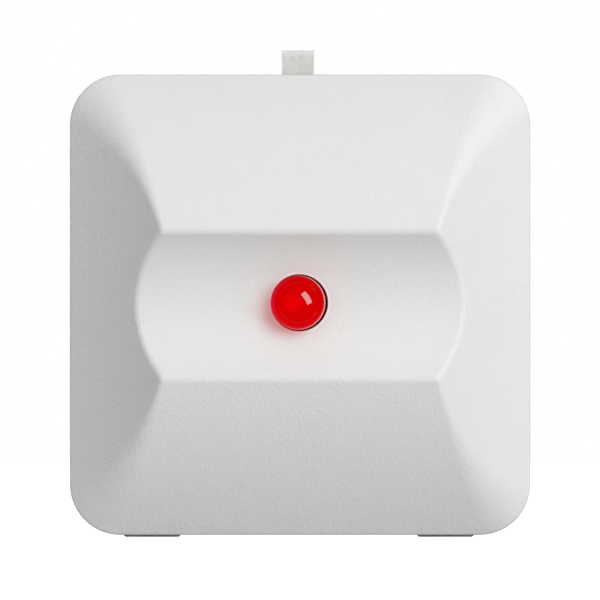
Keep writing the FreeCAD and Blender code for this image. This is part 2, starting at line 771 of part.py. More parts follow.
def make_base():
    base = new_body("base")
    pad(
        base, "block", lambda s: rounded_rectangle(s, BASE_HALF_WIDTH, BASE_HALF_HEIGHT, BASE_CORNER),
        "0", "Sizes.base_rim_height", taper="-Sizes.draft_angle",
    )
    pocket(
        base, "tray",
        lambda s: rounded_rectangle(s, *[
            "(%s - Sizes.base_rim_wall)" % outer for outer in (BASE_HALF_WIDTH, BASE_HALF_HEIGHT, BASE_CORNER)
        ]),
        "Sizes.base_plate", "Sizes.base_rim_height",
    )
    half_window = "(Sizes.cable_window_width / 2)"
    window_half_height = "(Sizes.cable_window_height / 2)"
    pad(
        base, "cable_lip",
        lambda s: rounded_rectangle(
            s, "(%s + Sizes.cable_lip)" % half_window, "(%s + Sizes.cable_lip)" % window_half_height,
            "(Sizes.cable_window_radius + Sizes.cable_lip)", "-Sizes.cable_window_drop",
        ),
        "Sizes.base_plate", "Sizes.cable_lip",
    )
    pocket(
        base, "cable_window",
        lambda s: rounded_rectangle(
            s, half_window, window_half_height, "Sizes.cable_window_radius", "-Sizes.cable_window_drop",
        ),
        "-Sizes.base_plate", "4 * Sizes.base_plate",
    )

    def screw_slots(sketch, border):
        for sign in ("-", ""):
            slot(
                sketch, "%sSizes.screw_spacing / 2" % sign,
                "(Sizes.screw_slot_width + 2 * %s)" % border, "(Sizes.screw_slot_length + 2 * %s)" % border,
            )

    pad(
        base, "screw_pads", lambda s: screw_slots(s, "Sizes.screw_pad_border"),
        "Sizes.base_plate", "Sizes.screw_pad_height",
    )
    pocket(base, "screw_slots", lambda s: screw_slots(s, "0"), "-Sizes.base_plate", "4 * Sizes.base_plate")

    pad(
        base, "posts", lambda s: circles(s, SCREW_POSTS + PIN_POSTS, "Sizes.post_diameter"),
        "Sizes.base_plate", "Sizes.post_height",
    )
    pad(
        base, "pins", lambda s: circles(s, PIN_POSTS, "Sizes.pin_diameter"),
        BOARD_BACK, "Sizes.board_thickness + Sizes.pin_rise",
    )
    pocket(
        base, "pilot_holes", lambda s: circles(s, SCREW_POSTS, "Sizes.pilot_diameter"),
        "%s - Sizes.pilot_depth" % BOARD_BACK, "Sizes.pilot_depth + Sizes.board_thickness",
    )

    left = "Sizes.tab_shift - %s" % LATCH_HALF_OPENING
    right = "Sizes.tab_shift + %s" % LATCH_HALF_OPENING
    behind_leg = "(%s - Sizes.latch_thickness - Sizes.latch_gap / 2)" % LATCH_TOP
    pocket(
        base, "latch_opening",
        lambda s: rectangle(s, left, right, behind_leg, "Sizes.cover_height / 2"),
        "-Sizes.base_plate", "Sizes.base_rim_height + 2 * Sizes.base_plate",
    )
    pad(base, "latch", latch_profile, "Sizes.tab_shift", "Sizes.tab_width", role="YZ_Plane", middle=True)

    def lugs(sketch):
        top = "-(%s - Sizes.base_rim_wall / 2)" % BASE_HALF_HEIGHT
        foot = "-(Sizes.cover_height / 2 + Sizes.lug_reach)"
        bevel = "%s + Sizes.lug_chamfer" % foot
        half = "Sizes.lug_width / 2"
        for sign in "-+":
            middle = "(Sizes.lug_shift %s Sizes.lug_spacing / 2)" % sign
            polygon(sketch, [
                ("%s - %s" % (middle, half), top),
                ("%s - %s" % (middle, half), bevel),
                ("%s - %s + Sizes.lug_chamfer" % (middle, half), foot),
                ("%s + %s - Sizes.lug_chamfer" % (middle, half), foot),
                ("%s + %s" % (middle, half), bevel),
                ("%s + %s" % (middle, half), top),
            ])

    pad(base, "lugs", lugs, "Sizes.lug_depth", "Sizes.lug_thickness")
    return base


# Circuit board and the two screws that hold it.

TERMINAL_Z = "(Sizes.terminal_inset - Sizes.board_height / 2)"
PIN_Z = "(%s + Sizes.cavity_back - Sizes.clamp_gap - Sizes.pin_thickness / 2)" % TERMINAL_Z
WIRE_HALF = "Sizes.wire_pitch / 2"
OUTER_DIODE = "(Sizes.board_width / 2 - Sizes.diode_inset)"
INNER_DIODE = "(%s - Sizes.diode_spacing)" % OUTER_DIODE
DIODE_X = ["-" + OUTER_DIODE, "-" + INNER_DIODE, INNER_DIODE, OUTER_DIODE]
UPPER_RESISTOR = "(Sizes.board_height / 2 - Sizes.resistor_inset)"
RESISTOR_Z = ["(%s - Sizes.resistor_spacing)" % UPPER_RESISTOR, UPPER_RESISTOR]
TRANSISTOR_X = "(Sizes.board_width / 2 - Sizes.transistor_side_inset)"
TRANSISTOR_Z = "(Sizes.board_height / 2 - Sizes.transistor_top_inset)"


def make_board():
    board = new_body("circuit_board")
    pad(
        board, "plate",
        lambda s: rounded_rectangle(
            s, "(Sizes.board_width / 2)", "(Sizes.board_height / 2)", "Sizes.board_corner",
        ),
        BOARD_BACK, "Sizes.board_thickness",
    )
    wire_hole = "(Sizes.wire_diameter + 2 * Sizes.board_hole_gap)"
    lead_hole = "(sqrt(2) * Sizes.lead_thickness + 2 * Sizes.board_hole_gap)"
    pin_hole = "(sqrt(Sizes.pin_width ^ 2 + Sizes.pin_thickness ^ 2) + 2 * Sizes.board_hole_gap)"
    leg_hole = "(sqrt(2) * Sizes.transistor_leg + 2 * Sizes.board_hole_gap)"

    def holes(sketch):
        circles(sketch, SCREW_POSTS, "Sizes.board_screw_hole")
        circles(sketch, PIN_POSTS, "(Sizes.pin_diameter + 2 * Sizes.board_hole_gap)")
        circles(sketch, [("%s %s Sizes.lead_pitch / 2" % (LED_X, sign), LED_Z) for sign in "-+"], lead_hole)
        circles(sketch, [(x, PIN_Z) for x in POLE_X], pin_hole)
        circles(sketch, [(x, sign + WIRE_HALF) for x in DIODE_X for sign in ("-", "")], wire_hole)
        circles(sketch, [(sign + WIRE_HALF, z) for z in RESISTOR_Z for sign in ("-", "")], wire_hole)
        for step in ("-Sizes.transistor_pitch", "+ 0", "+ Sizes.transistor_pitch"):
            circle(sketch, "%s %s" % (TRANSISTOR_X, step), TRANSISTOR_Z, leg_hole)

    pocket(board, "holes", holes, "%s - Sizes.board_thickness" % BOARD_BACK, "3 * Sizes.board_thickness")
    return board


def make_board_screws():
    screws = []
    for number, (x, z) in enumerate(SCREW_POSTS, 1):
        screw = new_body("board_screw_%d" % number)
        pad(
            screw, "shank", lambda s: circle(s, "0", "0", "Sizes.screw_shank"),
            "-Sizes.screw_length", "Sizes.screw_length",
        )
        pad(
            screw, "head", lambda s: circle(s, "0", "0", "Sizes.screw_head"),
            "0", "Sizes.screw_head_height",
        )
        arm = "(Sizes.screw_recess_width / 2)"
        blade = "(Sizes.screw_recess / 2)"
        for name, wide, tall in (("recess_across", arm, blade), ("recess_upright", blade, arm)):
            pocket(
                screw, name,
                lambda s: rectangle(s, "-" + wide, wide, "-" + tall, tall),
                "Sizes.screw_head_height - Sizes.screw_recess", "Sizes.screw_head_height",
            )
        put(screw, x, BOARD_FRONT, z)
        screws.append(screw)
    return group("board_screws", screws)


# Lamp: an epoxy body moulded round two steel leads, on a spacer. Its own frame has the flange's
# back face at y = 0.

LEAD_END = "(Sizes.spacer_length + Sizes.board_thickness + Sizes.lead_tail)"
CUP_FOOT = "(0.8 * Sizes.cup_radius)"
CUP_NECK = "(0.6 * Sizes.cup_radius)"
CUP_FLOOR = "(0.4 * Sizes.cup_radius)"


def lead_body(name, side):
    """A stamped lead: a straight leg that widens inside the epoxy into a head beside the cup."""
    body = new_body(name)
    inner = "%sSizes.lead_pitch / 2" % side
    half = "Sizes.lead_thickness / 2"
    head_back = "-(Sizes.cup_depth - 2 * Sizes.cup_height)"
    front = "-(Sizes.cup_depth - Sizes.cup_height / 2)"
    near_cup = "%s(Sizes.cup_radius + Sizes.lead_thickness / 2)" % side
    if side == "-":
        corners = [
            ("%s - %s" % (inner, half), LEAD_END),
            ("%s + %s" % (inner, half), LEAD_END),
            ("%s + %s" % (inner, half), head_back),
            (near_cup, front),
            ("%s - Sizes.lead_head" % near_cup, front),
            ("%s - %s" % (inner, half), head_back),
        ]
    else:
        corners = [
            ("%s + %s" % (inner, half), LEAD_END),
            ("%s + %s" % (inner, half), head_back),
            (CUP_NECK, front),
            ("-" + CUP_NECK, front),
            ("%s - %s" % (inner, half), head_back),
            ("%s - %s" % (inner, half), LEAD_END),
        ]
    pad(
        body, "blade", lambda s: polygon(s, corners),
        "0", "Sizes.lead_thickness", role="XY_Plane", middle=True,
    )
    return body


def make_lamp():
    anode = lead_body("led_anode_lead", "-")
    cathode = lead_body("led_cathode_lead", "")
    cup_front = "-Sizes.cup_depth"
    cup_back = "-(Sizes.cup_depth - Sizes.cup_height)"
    cup_floor = "-(Sizes.cup_depth - Sizes.cup_recess)"
    revolve(cathode, "cup", lambda s: polygon(s, [
        ("0", cup_back),
        (CUP_FOOT, cup_back),
        ("Sizes.cup_radius", cup_front),
        (CUP_FOOT, cup_front),
        (CUP_FLOOR, cup_floor),
        ("0", cup_floor),
    ]))

    def epoxy_profile(sketch):
        radius = "(Sizes.led_diameter / 2)"
        shoulder = "-(Sizes.led_length - %s)" % radius
        flange_front = "-Sizes.led_flange_thickness"
        corners = [
            ("0", "-Sizes.led_length"),
            ("0", "0"),
            ("Sizes.led_flange / 2", "0"),
            ("Sizes.led_flange / 2", flange_front),
            (radius, flange_front),
            (radius, shoulder),
        ]
        spots = [spot(sketch, x, y) for x, y in corners]
        lines = [sketch.addGeometry(Part.LineSegment(spots[k], spots[k + 1]), False) for k in range(5)]
        centre = Vector(0, spots[5].y, 0)
        dome = sketch.addGeometry(arc_between(centre, spots[5].x, spots[0], spots[5]), False)
        for k in range(4):
            sketch.addConstraint(Constraint("Coincident", lines[k], END, lines[k + 1], START))
        sketch.addConstraint(Constraint("Tangent", lines[4], END, dome, END))
        sketch.addConstraint(Constraint("Coincident", dome, START, lines[0], START))
        for line, (x, y) in zip(lines, corners):
            pin_point(sketch, line, START, x, y)
        drive(sketch, "DistanceX", HORIZONTAL_AXIS, START, lines[4], END, by=radius)
        sketch.addConstraint(Constraint("PointOnObject", dome, CENTRE, VERTICAL_AXIS))

    epoxy = new_body("led_epoxy")
    revolve(epoxy, "body", epoxy_profile)
    pocket(
        epoxy, "flat",
        lambda s: rectangle(
            s, "Sizes.led_diameter / 2", "Sizes.led_flange", "-Sizes.led_flange", "Sizes.led_flange",
        ),
        "-Sizes.led_flange_thickness", "2 * Sizes.led_flange_thickness",
    )
    for item in (anode, cathode, epoxy):
        put(item, LED_X, LED_BACK, LED_Z)
    leads = group("led_leads", [anode, cathode])
    dome = boolean("Cut", "led_dome", epoxy, leads)

    spacer = new_body("led_spacer")
    pad(
        spacer, "barrel", lambda s: circle(s, "0", "0", "Sizes.spacer_diameter"),
        "0", "Sizes.spacer_length",
    )
    half_pitch = "Sizes.lead_pitch / 2"
    pocket(
        spacer, "lead_holes",
        lambda s: circles(s, [("-" + half_pitch, "0"), (half_pitch, "0")], "Sizes.spacer_hole"),
        "-Sizes.spacer_length", "3 * Sizes.spacer_length",
    )
    put(spacer, LED_X, BOARD_FRONT, LED_Z)
    return [dome, anode, cathode, spacer]


# Terminal block: a housing of four poles, each with a rising cage, a solder pin and a clamp screw.
# Its own frame has the board's face at y = 0, heights towards -Y and the wire entries at -Z.

HOUSING_HALF = "(%d * Sizes.terminal_pitch / 2 + Sizes.terminal_end_wall)" % POLES
TERMINAL_HALF_DEPTH = "(Sizes.terminal_depth / 2)"


def make_terminal_housing():
    housing = new_body("terminal_housing")
    top = "-Sizes.terminal_height"
    pad(
        housing, "block",
        lambda s: polygon(s, [
            ("0", "-%s" % TERMINAL_HALF_DEPTH),
            ("0", TERMINAL_HALF_DEPTH),
            (top, TERMINAL_HALF_DEPTH),
            (top, "-%s + Sizes.terminal_bevel" % TERMINAL_HALF_DEPTH),
            ("%s + Sizes.terminal_bevel" % top, "-%s" % TERMINAL_HALF_DEPTH),
        ]),
        "0", "2 * %s" % HOUSING_HALF, role="YZ_Plane", middle=True,
    )

    def columns(sketch, half, low, high):
        for x in POLE_X:
            rectangle(sketch, "%s - %s" % (x, half), "%s + %s" % (x, half), low, high)

    pocket(
        housing, "cavities",
        lambda s: columns(s, "Sizes.cavity_width / 2", "-Sizes.cavity_front", "Sizes.cavity_back"),
        "-Sizes.cavity_height", "2 * Sizes.cavity_height",
    )
    pocket(
        housing, "head_bores",
        lambda s: circles(s, [(x, "0") for x in POLE_X], "(Sizes.clamp_head + 2 * Sizes.clamp_gap)"),
        "Sizes.cavity_height + Sizes.clamp_shelf", "Sizes.terminal_height",
    )
    pocket(
        housing, "shank_bores",
        lambda s: circles(s, [(x, "0") for x in POLE_X], "(Sizes.clamp_screw + 2 * Sizes.clamp_gap)"),
        "0", "Sizes.terminal_height",
    )
    entry_back = "-Sizes.cavity_front + Sizes.clamp_gap"

    def entries(sketch):
        for x in POLE_X:
            rectangle(
                sketch, "%s - Sizes.entry_width / 2" % x, "%s + Sizes.entry_width / 2" % x,
                "-Sizes.entry_top", "-Sizes.entry_bottom",
            )

    feature = pocket(
        housing, "wire_entries", entries, "-Sizes.terminal_depth",
        "Sizes.terminal_depth + (%s)" % entry_back, role="XY_Plane",
    )
    return housing, feature


def make_cage(number):
    cage = new_body("terminal_cage_%d" % number)
    half = "(Sizes.cavity_width / 2 - Sizes.clamp_gap)"
    pad(
        cage, "block",
        lambda s: rectangle(s, "-" + half, half, "-Sizes.cage_length / 2", "Sizes.cage_length / 2"),
        "Sizes.cage_bottom", "Sizes.cage_top - Sizes.cage_bottom",
    )
    pocket(
        cage, "wire_way",
        lambda s: rectangle(
            s, "-(%s - Sizes.cage_wall)" % half, "%s - Sizes.cage_wall" % half,
            "-(Sizes.cage_top - Sizes.cage_roof)", "-(Sizes.cage_bottom + Sizes.cage_wall)",
        ),
        "0", "2 * Sizes.cage_length", role="XY_Plane", middle=True,
    )
    pocket(
        cage, "thread",
        lambda s: circle(s, "0", "0", "(Sizes.clamp_screw + Sizes.clamp_gap)"),
        "Sizes.cage_top - 1.5 * Sizes.cage_roof", "3 * Sizes.cage_roof",
    )
    return cage


def make_solder_pin(number):
    solder_pin = new_body("terminal_pin_%d" % number)
    back = "(Sizes.cavity_back - Sizes.clamp_gap)"
    bar_front = "-Sizes.pin_bar_height"
    bar_back = "-(Sizes.pin_bar_height - Sizes.pin_thickness)"
    tail = "(Sizes.board_thickness + Sizes.lead_tail)"
    pad(
        solder_pin, "blade",
        lambda s: polygon(s, [
            (bar_front, back),
            (bar_front, "%s - Sizes.pin_bar" % back),
            (bar_back, "%s - Sizes.pin_bar" % back),
            (bar_back, "%s - Sizes.pin_thickness" % back),
            (tail, "%s - Sizes.pin_thickness" % back),
            (tail, back),
        ]),
        "0", "Sizes.pin_width", role="YZ_Plane", middle=True,
    )
    return solder_pin


def make_clamp_screw(number):
    screw = new_body("terminal_screw_%d" % number)
    seat = "(Sizes.cavity_height + Sizes.clamp_shelf)"
    pad(screw, "head", lambda s: circle(s, "0", "0", "Sizes.clamp_head"), seat, "Sizes.clamp_head_height")
    pad(
        screw, "shank", lambda s: circle(s, "0", "0", "Sizes.clamp_screw"),
        "Sizes.pin_bar_height", "%s - Sizes.pin_bar_height" % seat,
    )
    pocket(
        screw, "slot",
        lambda s: rectangle(
            s, "-Sizes.clamp_head", "Sizes.clamp_head", "-Sizes.clamp_slot / 2", "Sizes.clamp_slot / 2",
        ),
        "%s + Sizes.clamp_head_height / 2" % seat, "Sizes.clamp_head_height",
    )
    return screw


def make_terminals():
    housing, entries = make_terminal_housing()
    put(housing, "0", BOARD_FRONT, TERMINAL_Z)
    pieces = [housing]
    screws = []
    for number, x in enumerate(POLE_X, 1):
        cage = make_cage(number)
        solder_pin = make_solder_pin(number)
        screw = make_clamp_screw(number)
        for item in (cage, solder_pin, screw):
            put(item, x, BOARD_FRONT, TERMINAL_Z)
        pieces += [cage, solder_pin]
        screws.append(screw)
    pieces.append(group("terminal_screws", screws))
    return pieces


# Diodes and resistors: an axial body on one bent wire. Its own frame has the board's face at
# y = 0 and the axis along X.

def wire_path(sketch, height):
    half = amount(sketch, WIRE_HALF)
    bend = size("wire_bend")
    top = -amount(sketch, height)
    tail = size("board_thickness") + size("part_tail")
    points = [Vector(-half, tail, 0), Vector(-half, top + bend, 0), Vector(bend - half, top, 0)]
    points += [Vector(half - bend, top, 0), Vector(half, top + bend, 0), Vector(half, tail, 0)]
    left = sketch.addGeometry(Part.LineSegment(points[0], points[1]), False)
    left_bend = sketch.addGeometry(
        Part.ArcOfCircle(ring((bend - half, top + bend), bend), math.pi, 3 * math.pi / 2), False,
    )
    bar = sketch.addGeometry(Part.LineSegment(points[2], points[3]), False)
    right_bend = sketch.addGeometry(
        Part.ArcOfCircle(ring((half - bend, top + bend), bend), -math.pi / 2, 0), False,
    )
    right = sketch.addGeometry(Part.LineSegment(points[4], points[5]), False)
    sketch.addConstraint([
        Constraint("Tangent", left, END, left_bend, START),
        Constraint("Tangent", left_bend, END, bar, START),
        Constraint("Tangent", bar, END, right_bend, START),
        Constraint("Tangent", right_bend, END, right, START),
        Constraint("Vertical", left),
        Constraint("Vertical", right),
        Constraint("Horizontal", bar),
        Constraint("Equal", left_bend, right_bend),
    ])
    drive(sketch, "Radius", left_bend, by="Sizes.wire_bend")
    pin_point(sketch, left, START, "-" + WIRE_HALF, "Sizes.board_thickness + Sizes.part_tail")
    pin_point(sketch, right, END, WIRE_HALF, "Sizes.board_thickness + Sizes.part_tail")
    drive(sketch, "DistanceY", HORIZONTAL_AXIS, START, bar, START, by="-%s" % height)


def axial_part(name, outline, height):
    body = new_body(name)
    path = sketch_on(body, name + "_path", "XY_Plane")
    wire_path(path, height)
    section = sketch_on(body, name + "_section", "XZ_Plane", "-(Sizes.board_thickness + Sizes.part_tail)")
    circle(section, "-" + WIRE_HALF, "0", "Sizes.wire_diameter")
    doc.recompute()
    wire = body.newObject("PartDesign::AdditivePipe", name + "_wire")
    wire.Profile = section
    wire.Spine = path
    doc.recompute()
    profile = sketch_on(body, name + "_outline", "XY_Plane")
    outline(profile, height)
    turned = body.newObject("PartDesign::Revolution", name + "_case")
    turned.Profile = profile
    turned.ReferenceAxis = (profile, ["Axis0"])
    turned.Angle = 360
    doc.recompute()
    return body


def axis_line(sketch, height):
    level = -amount(sketch, height)
    half = amount(sketch, WIRE_HALF)
    line = sketch.addGeometry(Part.LineSegment(Vector(-half, level, 0), Vector(half, level, 0)), True)
    pin_point(sketch, line, START, "-" + WIRE_HALF, "-%s" % height)
    pin_point(sketch, line, END, WIRE_HALF, "-%s" % height)


def diode_outline(sketch, height):
    axis_line(sketch, height)
    half = "Sizes.diode_length / 2"
    edge = "-(%s + Sizes.diode_diameter / 2)" % height
    rectangle(sketch, "-" + half, half, edge, "-%s" % height)


def resistor_outline(sketch, height):
    """A body with a bulge at each end, where its caps lie under the lacquer."""
    axis_line(sketch, height)
    level = "-%s" % height
    bulge = "%s - Sizes.resistor_diameter / 2" % level
    waist = "%s - Sizes.resistor_waist / 2" % level
    end = "Sizes.resistor_length / 2"
    shoulder = "(%s - Sizes.resistor_slope)" % end
    cap = "(%s - Sizes.resistor_cap)" % shoulder
    slope = "(%s - Sizes.resistor_slope)" % cap
    steps = [(end, level), (end, waist), (shoulder, bulge), (cap, bulge), (slope, waist)]
    left = [("-" + x, y) for x, y in steps]
    polygon(sketch, left + steps[::-1])


def make_axial_parts():
    parts = []
    diode_height = "(Sizes.diode_diameter / 2 + Sizes.part_clearance)"
    for number, x in enumerate(DIODE_X, 1):
        diode = axial_part("diode_%d" % number, diode_outline, diode_height)
        diode.Placement.Rotation = Rotation(Vector(0, 1, 0), -90)
        put(diode, x, BOARD_FRONT, "0")
        parts.append(diode)
    resistor_height = "(Sizes.resistor_diameter / 2 + Sizes.part_clearance)"
    for number, z in enumerate(RESISTOR_Z, 1):
        resistor = axial_part("resistor_%d" % number, resistor_outline, resistor_height)
        put(resistor, "0", BOARD_FRONT, z)
        parts.append(resistor)
    return parts


def make_transistor():
    transistor = new_body("transistor")

    def case_outline(sketch):
        radius = size("transistor_diameter") / 2
        flat = -size("transistor_flat")
        reach = math.sqrt(radius ** 2 - flat ** 2)
        arc = sketch.addGeometry(arc_between((0, 0), radius, (reach, flat), (-reach, flat)), False)
        chord = sketch.addGeometry(Part.LineSegment(Vector(-reach, flat, 0), Vector(reach, flat, 0)), False)
        sketch.addConstraint([
            Constraint("Coincident", arc, CENTRE, HORIZONTAL_AXIS, START),
            Constraint("Coincident", arc, END, chord, START),
            Constraint("Coincident", chord, END, arc, START),
            Constraint("Horizontal", chord),
        ])
        drive(sketch, "Diameter", arc, by="Sizes.transistor_diameter")
        drive(sketch, "DistanceY", HORIZONTAL_AXIS, START, chord, START, by="-Sizes.transistor_flat")

    def legs(sketch):
        half = "Sizes.transistor_leg / 2"
        for middle in ("-Sizes.transistor_pitch", "0", "Sizes.transistor_pitch"):
            rectangle(sketch, "%s - %s" % (middle, half), "%s + %s" % (middle, half), "-" + half, half)

    pad(transistor, "case", case_outline, "Sizes.transistor_stand", "Sizes.transistor_height")
    pad(
        transistor, "legs", legs, "-(Sizes.board_thickness + Sizes.part_tail)",
        "Sizes.board_thickness + Sizes.part_tail + Sizes.transistor_stand + Sizes.transistor_height / 2",
    )
    put(transistor, TRANSISTOR_X, BOARD_FRONT, TRANSISTOR_Z)
    return transistor


nodes = [make_cover(), make_base(), make_board(), make_board_screws()]
nodes += make_lamp()
nodes += make_terminals()
nodes += make_axial_parts()
nodes.append(make_transistor())
doc.recompute()

for item in doc.Objects:
    if "Invalid" in item.State or "Error" in item.State:
        raise RuntimeError("%s is %s" % (item.Name, item.State))

os.makedirs("parts", exist_ok=True)
for node in nodes:
    shape = node.Shape
    if shape.isNull() or not shape.isValid() or not shape.Solids:
        raise RuntimeError("%s has no valid solid" % node.Label)
    shape.exportStep("parts/%s.step" % node.Label)
    print("%s: %d solid(s), %.1f cubic mm" % (node.Label, len(shape.Solids), shape.Volume))
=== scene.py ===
import math

import bmesh
import bpy
from mathutils import Matrix, Vector


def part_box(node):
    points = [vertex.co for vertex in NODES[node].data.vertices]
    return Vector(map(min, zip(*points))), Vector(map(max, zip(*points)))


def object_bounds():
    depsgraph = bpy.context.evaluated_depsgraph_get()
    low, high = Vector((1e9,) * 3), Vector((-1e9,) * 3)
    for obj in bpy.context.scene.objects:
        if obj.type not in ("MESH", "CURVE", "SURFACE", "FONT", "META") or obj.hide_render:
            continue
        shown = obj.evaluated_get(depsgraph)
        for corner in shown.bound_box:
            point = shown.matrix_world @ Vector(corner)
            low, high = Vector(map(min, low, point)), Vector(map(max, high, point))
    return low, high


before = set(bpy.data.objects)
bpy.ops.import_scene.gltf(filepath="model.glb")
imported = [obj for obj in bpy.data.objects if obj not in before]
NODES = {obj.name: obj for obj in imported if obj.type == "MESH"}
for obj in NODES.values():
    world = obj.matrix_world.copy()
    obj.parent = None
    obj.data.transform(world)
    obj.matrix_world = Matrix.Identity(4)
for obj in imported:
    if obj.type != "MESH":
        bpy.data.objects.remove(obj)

# Remote indicator lamp on a white studio floor. Everything is in metres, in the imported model's
# frame: +X is to the right, +Z is up, and the front of the lamp faces -Y.

MM = 0.001
cad_low, cad_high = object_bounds()


# Node helpers

NOISE_LOW = 0.3
NOISE_HIGH = 0.7


class Tree:
    """A node tree, with helpers that add and link its nodes."""

    def __init__(self, tree):
        self.tree = tree

    def add(self, kind, **settings):
        node = self.tree.nodes.new(kind)
        for key, value in settings.items():
            setattr(node, key, value)
        return node

    def link(self, source, target):
        """Feeds a socket from another socket, or sets it to a constant."""
        if isinstance(source, bpy.types.NodeSocket):
            self.tree.links.new(source, target)
        else:
            target.default_value = source

    def math(self, operation, *values):
        node = self.add("ShaderNodeMath", operation=operation)
        for socket, value in zip(node.inputs, values):
            self.link(value, socket)
        return node.outputs[0]

    def spread(self, value, low, high, out_low, out_high, kind="LINEAR"):
        """Maps low to high onto out_low to out_high, and stays within them."""
        node = self.add("ShaderNodeMapRange", interpolation_type=kind)
        for label, number in (
            ("Value", value), ("From Min", low), ("From Max", high),
            ("To Min", out_low), ("To Max", out_high),
        ):
            self.link(number, node.inputs[label])
        return node.outputs["Result"]

    def distance(self, places, centre):
        """How far a point with these two coordinates lies from a centre."""
        squares = [
            self.math("POWER", self.math("SUBTRACT", place, middle), 2.0)
            for place, middle in zip(places, centre)
        ]
        return self.math("SQRT", self.math("ADD", *squares))


class Finish(Tree):
    """One material: its node tree, its principled shader, and helpers for textures and colours."""

    def __init__(self, name, **constants):
        self.material = bpy.data.materials.new(name)
        self.material.use_nodes = True
        super().__init__(self.material.node_tree)
        self.shader = self.tree.nodes["Principled BSDF"]
        self.place = self.add("ShaderNodeTexCoord").outputs["Object"]
        for label, value in constants.items():
            self.shader.inputs[label.replace("_", " ")].default_value = value

    def noise(self, size, detail=2.0, roughness=0.5, distortion=0.0, stretch=(1, 1, 1)):
        """Noise whose lumps are about this size, in metres."""
        node = self.add("ShaderNodeTexNoise")
        place = self.place
        if stretch != (1, 1, 1):
            mapping = self.add("ShaderNodeMapping")
            mapping.inputs["Scale"].default_value = stretch
            self.link(place, mapping.inputs["Vector"])
            place = mapping.outputs["Vector"]
        self.link(place, node.inputs["Vector"])
        node.inputs["Scale"].default_value = 1 / size
        node.inputs["Detail"].default_value = detail
        node.inputs["Roughness"].default_value = roughness
        node.inputs["Distortion"].default_value = distortion
        return node.outputs["Fac"]

    def cells(self, size):
        """Soft round cells of about this size, in metres."""
        node = self.add("ShaderNodeTexVoronoi", feature="SMOOTH_F1")
        self.link(self.place, node.inputs["Vector"])
        node.inputs["Scale"].default_value = 1 / size
        return node.outputs["Distance"]

    def blend(self, amount, first, second):
        """The first colour at 0, the second at 1."""
        node = self.add("ShaderNodeMix", data_type="RGBA")
        self.link(amount, node.inputs["Factor"])
        for colour, label in ((first, "A"), (second, "B")):
            socket = next(s for s in node.inputs if s.name == label and s.type == "RGBA")
            self.link(colour if isinstance(colour, bpy.types.NodeSocket) else (*colour, 1), socket)
        return next(s for s in node.outputs if s.type == "RGBA")

    def axes(self):
        node = self.add("ShaderNodeSeparateXYZ")
        self.link(self.place, node.inputs["Vector"])
        return node.outputs

    def set(self, label, source):
        self.link(source, self.shader.inputs[label])

    def set_roughness(self, cloud, low, high):
        """Lets the roughness follow a noise."""
        self.set("Roughness", self.spread(cloud, NOISE_LOW, NOISE_HIGH, low, high))

    def set_bump(self, height, distance, strength=1.0):
        node = self.add("ShaderNodeBump")
        node.inputs["Distance"].default_value = distance
        self.link(strength, node.inputs["Strength"])
        self.link(height, node.inputs["Height"])
        self.set("Normal", node.outputs["Normal"])

    def let_through(self, share, surface, tint=(1, 1, 1)):
        """Ends the material in this surface, of which a share is clear and tints what passes."""
        clear = self.add("ShaderNodeBsdfTransparent")
        clear.inputs["Color"].default_value = (*tint, 1)
        mixed = self.add("ShaderNodeMixShader")
        self.link(share, mixed.inputs["Fac"])
        self.link(surface, mixed.inputs[1])
        self.link(clear.outputs["BSDF"], mixed.inputs[2])
        self.link(mixed.outputs["Shader"], self.tree.nodes["Material Output"].inputs["Surface"])


# Even shading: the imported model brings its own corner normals, and a few of the cover's are wrong
# where the ridges meet the hips. This takes them all off and shades by the angle between faces.

SMOOTH_ANGLE = math.radians(30)


def smooth_by_angle(limit):
    """A node group that shades faces smoothly up to this angle between them, and sharp beyond it."""
    group = bpy.data.node_groups.new("smooth_by_angle", "GeometryNodeTree")
    for direction in ("INPUT", "OUTPUT"):
        group.interface.new_socket("Geometry", in_out=direction, socket_type="NodeSocketGeometry")
    made = Tree(group)
    begin = made.add("NodeGroupInput")
    end = made.add("NodeGroupOutput")
    forget = made.add("GeometryNodeRemoveAttribute")
    forget.inputs["Name"].default_value = "custom_normal"
    faces = made.add("GeometryNodeSetShadeSmooth", domain="FACE")
    edges = made.add("GeometryNodeSetShadeSmooth", domain="EDGE")
    angle = made.add("GeometryNodeInputMeshEdgeAngle")
    gentle = made.add("FunctionNodeCompare", data_type="FLOAT", operation="LESS_EQUAL")
    gentle.inputs["B"].default_value = limit
    made.link(begin.outputs[0], forget.inputs["Geometry"])
    made.link(forget.outputs["Geometry"], faces.inputs["Geometry"])
    made.link(faces.outputs["Geometry"], edges.inputs["Geometry"])
    made.link(angle.outputs["Unsigned Angle"], gentle.inputs["A"])
    made.link(gentle.outputs["Result"], edges.inputs["Shade Smooth"])
    made.link(edges.outputs["Geometry"], end.inputs[0])
    return group


SHADING = smooth_by_angle(SMOOTH_ANGLE)


def dress(node_name, finish):
    """Gives a node its finish and the even shading."""
    node = NODES[node_name]
    node.data.materials.clear()
    node.data.materials.append(finish.material)
    node.modifiers.new("even_shading", "NODES").node_group = SHADING


# Cover plastic

